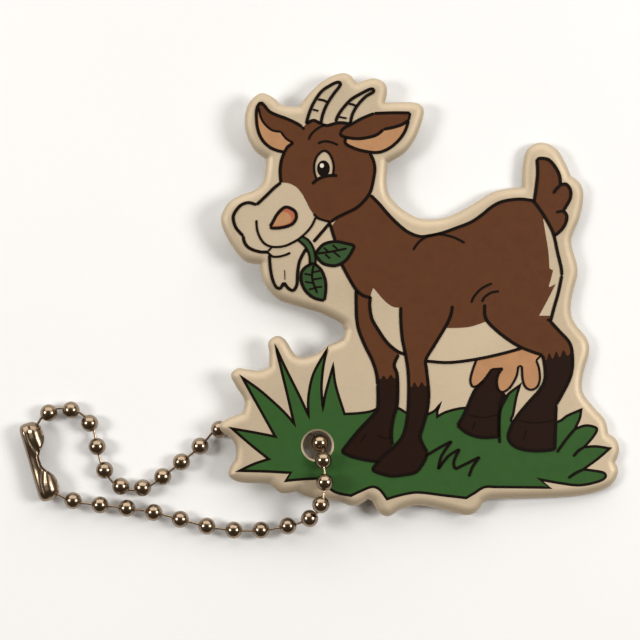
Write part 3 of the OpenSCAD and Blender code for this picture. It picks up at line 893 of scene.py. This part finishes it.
def bead_surface(centre, axis, radius, lip, seam):
    """A hollow ball: a closed profile of the outer arc, a flared mouth at each hole and the
    inner arc goes round the axis, with a narrow groove along one side for the seam."""
    first = math.asin((BORE + 3 * lip) / radius)
    outer = np.linspace(first, math.pi - first, 26)
    inner_r = radius - WALL
    last = math.asin(BORE / inner_r)
    inner = np.linspace(math.pi - last, last, 14)
    neck = radius * math.cos(first)
    down = np.array([[BORE + lip * 1.9, neck + lip * 0.6], [BORE + lip * 1.2, neck + lip * 0.75],
                     [BORE, neck - lip * 0.8]])
    profile = np.concatenate([
        np.stack([radius * np.sin(outer), radius * np.cos(outer)], -1), down * [1, -1],
        np.stack([inner_r * np.sin(inner), inner_r * np.cos(inner)], -1), down[::-1]])
    angles = np.concatenate([SEAM_ANGLES, np.linspace(0.2, 2 * math.pi - 0.2, 40)])
    groove = np.exp(-(angles / SEAM_WIDTH) ** 2)
    depth = np.zeros(len(profile))
    depth[:len(outer)] = np.sin(outer)
    points = turned(profile, angles, centre, axis, seam * groove * depth[:, None])
    return points, grid_faces(len(profile), len(angles), wrap_rows=True)


def pin_surface(centre, axis, half):
    """A wire with a round head at each end: a profile of a head, the wire and a head goes
    round the axis."""
    join = math.asin(WIRE / HEAD_R)
    arc = np.linspace(0, math.pi - join, 11)
    cap = np.stack([HEAD_R * np.sin(arc), half + HEAD_R * np.cos(arc)], -1)
    length = half + HEAD_R * math.cos(math.pi - join)
    middle = np.linspace(0.9, -0.9, 5) * length
    shaft = np.stack([np.full(5, WIRE), middle], -1)
    profile = np.concatenate([cap, shaft, cap[::-1] * [1, -1]])
    angles = np.linspace(0, 2 * math.pi, 20, endpoint=False)
    return turned(profile, angles, centre, axis), grid_faces(len(profile), len(angles))


def middle_and_axis(points):
    """Middle and long axis of a slender node."""
    mean = points.mean(0)
    axis = np.linalg.svd(points - mean, full_matrices=False)[2][0]
    along = (points - mean) @ axis
    half = (along.max() - along.min()) / 2
    return mean + axis * (along.max() + along.min()) / 2, axis, half


def hinge_places():
    """The place of each body's hinge, by the body's name."""
    return {j["child"]: np.array(j["pos_m"]) for j in frame["joints"]}


def end_beads():
    """The points of the two end beads, the one in the clasp's lower cup first."""
    both = node_points("clasp_end_beads")
    lower = both[:, 1] < both[:, 1].mean()
    return both[lower], both[~lower]


def bead_pieces(settings, material):
    """Every ball of the chain, turned so that its holes face its two pins."""
    hinge = hinge_places()
    hinge["hole_bead"] = np.array(next(j["pos_m"] for j in frame["joints"]
                                       if j["parent"] == "hole_bead"))
    for name in sorted(n for n in frame["nodes"] if "_bead" in n and n != "clasp_end_beads"):
        low, high = (np.array(c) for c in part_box(name))
        centre, radius = (low + high) / 2, (high - low).max() / 2
        points, faces = bead_surface(centre, hinge[name] - centre, radius, settings.lip,
                                     settings.seam)
        make_piece(name + "_shell", points, [faces], material, name, [name])
    points, faces, start = [], [], 0
    for bead, mouth in zip(end_beads(), (hinge["clasp"], hinge["back_pin_15"])):
        low, high = bead.min(0), bead.max(0)
        centre, radius = (low + high) / 2, (high - low).max() / 2
        p, f = bead_surface(centre, mouth - centre, radius, settings.lip, settings.seam)
        points.append(p)
        faces.append(f + start)
        start += len(p)
    make_piece("end_bead_shells", np.concatenate(points), faces, material, "clasp",
               ["clasp_end_beads"])


def pin_pieces(material):
    """Every pin of the chain, along its CAD solid. The pin where the loop is opened lies in
    the middle of its play, between its two beads' holes, as on the closed chain."""
    hinge = hinge_places()
    last = max(n for n in frame["nodes"] if n.startswith("back_pin_"))
    beside = max(n for n in frame["nodes"] if n.startswith("back_bead_"))
    low, high = (np.array(c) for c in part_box(beside))
    far_hole = low + high - hinge[beside]
    for name in sorted(n for n in frame["nodes"] if "_pin_" in n):
        centre, axis, half = middle_and_axis(node_points(name))
        if name == last:
            gap = hinge[last] - far_hole
            centre, axis = (hinge[last] + far_hole) / 2, gap / np.linalg.norm(gap)
        points, faces = pin_surface(centre, axis, half - HEAD_R)
        make_piece(name + "_wire", points, [faces], material, name, [name])


def clasp_piece(settings, material):
    """The folded clasp: a sheet round the line between its end beads. Across the line its
    section is a circle squared off at the spine, open towards the pins by an angle that is
    small at the cups and wide between them; along the line it closes to round ends."""
    low, high = ((bead.min(0) + bead.max(0)) / 2 for bead in end_beads())
    span = np.linalg.norm(high - low)
    along = (high - low) / span
    up = np.array([0.0, 0.0, 1.0])
    out = np.cross(along, up)
    box_low, box_high = (np.array(c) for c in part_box("clasp"))
    r = (box_high[2] - box_low[2]) / 2
    s = np.concatenate([-r * np.cos(np.linspace(0.03, math.pi / 2, 12)),
                        np.linspace(0, span, 110)[1:-1],
                        span + r * np.sin(np.linspace(0, math.pi / 2 - 0.03, 12))])
    over = np.clip(np.maximum(-s, s - span), 0, None)
    size = np.sqrt(np.clip(1 - (over / r) ** 2, 0, 1))
    square = np.clip(1 - (over / r) ** 4, 0, 1) ** 0.25
    near = np.minimum(np.abs(s), np.abs(s - span))
    open_share = np.clip((near - CUP_REACH) / WAIST_REACH, 0, 1)
    open_share = open_share ** 2 * (3 - 2 * open_share) * (over == 0)
    cup_open, waist_open = math.asin(CUP_SLOT / r), math.acos(WAIST_SLOT / r)
    mouth = cup_open + (waist_open - cup_open) * open_share
    pinch = 1 - PINCH * open_share
    turn = np.linspace(0, 1, 73)
    phi = mouth[:, None] + (2 * math.pi - 2 * mouth[:, None]) * turn

    def skin(radius, scale, spine):
        """Points of one side of the sheet, pinched and creased beside the cups."""
        c, sn = np.cos(phi), np.sin(phi)
        crease = CREASE_MOVE * open_share + CREASE_START
        sn = np.where(c < 0, np.sign(sn) * np.abs(sn) ** 0.8, sn)
        dent = np.exp(-((c - crease[:, None]) / CREASE_WIDTH) ** 2)
        sn = sn * (1 - CREASE_DEPTH * dent)
        side = np.where(c < 0, -np.abs(c) ** settings.fold * spine[:, None], c * scale[:, None])
        return (low + s[:, None, None] * along + (radius * side)[..., None] * out
                + (radius * (scale * pinch)[:, None] * sn)[..., None] * up)

    outer = skin(r, size, square)
    inner_r = r - SHEET
    inner_size = np.sqrt(np.clip(1 - (over / inner_r) ** 2, 0.0004, 1))
    inner = skin(inner_r, inner_size, np.minimum(square, inner_size ** 0.6))
    shift = np.where(over > inner_r, 0.9 * (over - inner_r), 0)
    inner += (shift * np.where(s < 0, 1, -1))[:, None, None] * along
    rows, cols = outer.shape[:2]
    n = rows * cols
    face = grid_faces(rows, cols, wrap_cols=False)
    k = np.arange(n).reshape(rows, cols)

    def rim(line):
        """Faces between the two skins along an edge of the sheet."""
        return np.stack([line[:-1], line[1:], line[1:] + n, line[:-1] + n], -1)
    faces = [face, face[:, ::-1] + n, rim(k[0]), rim(k[-1]), rim(k[:, 0]), rim(k[:, -1])]
    points = np.concatenate([outer.reshape(-1, 3), inner.reshape(-1, 3)])
    make_piece("clasp_sheet", points, faces, material, "clasp", ["clasp"])


# ---------------------------------------------------------------- stage

def area_light(name, place, size, power):
    """A soft light that faces the origin: a disk, or a rectangle of two sides."""
    lamp = bpy.data.lights.new(name, "AREA")
    lamp.shape = "DISK" if len(size) == 1 else "RECTANGLE"
    lamp.size = size[0]
    if len(size) > 1:
        lamp.size_y = size[1]
    lamp.energy = power
    lamp.color = WARM_WHITE
    thing = bpy.data.objects.new(name, lamp)
    thing.location = place
    thing.rotation_euler = (-Vector(place)).to_track_quat("-Z", "Y").to_euler()
    bpy.context.scene.collection.objects.link(thing)


def stage_pieces(settings):
    """The floor, the soft lights and the camera, which looks straight down."""
    scene = bpy.context.scene
    camera = bpy.data.cameras.new("camera")
    camera.sensor_width = 36
    camera.lens = 120
    camera.clip_start = 0.01
    holder = bpy.data.objects.new("camera", camera)
    holder.location = (*VIEW_CENTRE[:2], VIEW_CENTRE[2] + settings.reach)
    scene.collection.objects.link(holder)
    scene.camera = holder
    floor_mesh = bpy.data.meshes.new("floor")
    signs = ((-1, -1), (1, -1), (1, 1), (-1, 1))
    corners = [(x * FLOOR_HALF, y * FLOOR_HALF, 0) for x, y in signs]
    floor_mesh.from_pydata(corners, [], [(0, 1, 2, 3)])
    floor = bpy.data.objects.new("floor", floor_mesh)
    floor.location = (0, 0, -FLOOR_DROP)
    scene.collection.objects.link(floor)
    floor_mesh.materials.append(handled("floor_paper", tuple(settings.floor), 0.97, (0.7, 0.85),
                                        20.0, 900.0, 0.05, Metallic=0.0))
    for light in LIGHTS:
        area_light(*light)
    world = bpy.data.worlds.new("studio")
    world.use_nodes = True
    scene.world = world
    back = world.node_tree.nodes["Background"]
    back.inputs["Color"].default_value = (*WORLD_BROWN, 1)
    back.inputs["Strength"].default_value = WORLD_STRENGTH
    scene.view_settings.view_transform = "Standard"


# ---------------------------------------------------------------- operators

def settings_of(context):
    """The tag's settings in the scene."""
    return getattr(context.scene, SETTINGS)


def metal_material(settings):
    """Brushed metal whose colour is darkened towards the rolled edge: painted shade for the dark
    surroundings that the roll reflects.
    """
    material = handled("brushed_metal", tuple(settings.metal), 0.72, (0.5, 0.66), 70.0, 7000.0,
                       0.3, (0.2, 1.0, 1.0), Metallic=0.5, Specular_IOR_Level=0.3)
    tree = material.node_tree
    base = tree.nodes["Principled BSDF"].inputs["Base Color"]
    rim = shader_node(tree, "Attribute", {}, attribute_name="rim")["Fac"]
    # Painted shade: the rim attribute, 1 at the outline, mixes the metal towards a darker tone on
    # the rolled edge.
    painted_edge_shade = (*tone(settings.metal, 0.8), 1)
    plug(tree, base, mixed(tree, rim, base.links[0].from_socket, painted_edge_shade))
    return material


class GOATTAG_OT_stage(bpy.types.Operator):
    """Makes the floor, the lights and the camera"""

    bl_idname = "goattag.stage"
    bl_label = "Stage"

    def execute(self, context):
        stage_pieces(settings_of(context).stage)
        return {"FINISHED"}


class GOATTAG_OT_plate(bpy.types.Operator):
    """Makes the metal tag with its rolled edge and bevelled hole"""

    bl_idname = "goattag.plate"
    bl_label = "Tag"

    def execute(self, context):
        settings = settings_of(context).plate
        plate_piece(settings, metal_material(settings))
        return {"FINISHED"}


class GOATTAG_OT_print(bpy.types.Operator):
    """Makes the printed goat and grass in thin layers of ink"""

    bl_idname = "goattag.print"
    bl_label = "Print"

    def execute(self, context):
        print_pieces(settings_of(context).printed)
        return {"FINISHED"}


class GOATTAG_OT_beads(bpy.types.Operator):
    """Makes the hollow beads of the chain"""

    bl_idname = "goattag.beads"
    bl_label = "Beads"

    def execute(self, context):
        settings = settings_of(context).chain
        bead_pieces(settings, handled("nickel_beads", tuple(settings.plating), 0.72,
                                      (0.16, 0.28), 500.0, 5000.0, 0.06, Metallic=1.0))
        return {"FINISHED"}


class GOATTAG_OT_pins(bpy.types.Operator):
    """Makes the wire pins with their heads"""

    bl_idname = "goattag.pins"
    bl_label = "Pins"

    def execute(self, context):
        colour = tone(settings_of(context).chain.plating, 1.25)
        pin_pieces(handled("nickel_wire", colour, 0.7, (0.16, 0.32), 900.0, 8000.0, 0.1,
                           Metallic=1.0))
        return {"FINISHED"}


class GOATTAG_OT_clasp(bpy.types.Operator):
    """Makes the folded sheet clasp"""

    bl_idname = "goattag.clasp"
    bl_label = "Clasp"

    def execute(self, context):
        settings = settings_of(context).chain
        colour = tone(settings.plating, 0.95)
        clasp_piece(settings, handled("nickel_sheet", colour, 0.6, (0.18, 0.34), 350.0, 3000.0,
                                      0.12, Metallic=1.0))
        return {"FINISHED"}


class GoatTagSettings(bpy.types.PropertyGroup):
    """All the settings of the goat tag."""

    plate: bpy.props.PointerProperty(type=GoatTagPlate)
    printed: bpy.props.PointerProperty(type=GoatTagPrint)
    chain: bpy.props.PointerProperty(type=GoatTagChain)
    stage: bpy.props.PointerProperty(type=GoatTagStage)


OPERATORS = (GOATTAG_OT_stage, GOATTAG_OT_plate, GOATTAG_OT_print, GOATTAG_OT_beads,
             GOATTAG_OT_pins, GOATTAG_OT_clasp)


class GOATTAG_PT_panel(bpy.types.Panel):
    """The goat tag's steps and settings"""

    bl_label = "Goat tag"
    bl_idname = "GOATTAG_PT_panel"
    bl_space_type = "VIEW_3D"
    bl_region_type = "UI"
    bl_category = "Goat tag"

    def draw(self, context):
        for operator in OPERATORS:
            self.layout.operator(operator.bl_idname)
        for part in ("plate", "printed", "chain", "stage"):
            group = getattr(settings_of(context), part)
            for name in group.bl_rna.properties.keys():
                if name not in ("rna_type", "name"):
                    self.layout.prop(group, name)


CLASSES = (GoatTagPlate, GoatTagPrint, GoatTagChain, GoatTagStage, GoatTagSettings, *OPERATORS,
           GOATTAG_PT_panel)


def register():
    for cls in CLASSES:
        bpy.utils.register_class(cls)
    setattr(bpy.types.Scene, SETTINGS, bpy.props.PointerProperty(type=GoatTagSettings))


def unregister():
    delattr(bpy.types.Scene, SETTINGS)
    for cls in reversed(CLASSES):
        bpy.utils.unregister_class(cls)


def main():
    """Runs every step in order."""
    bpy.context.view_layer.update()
    register()
    for operator in OPERATORS:
        group, name = operator.bl_idname.split(".")
        getattr(getattr(bpy.ops, group), name)()


if __name__ == "__main__":
    main()
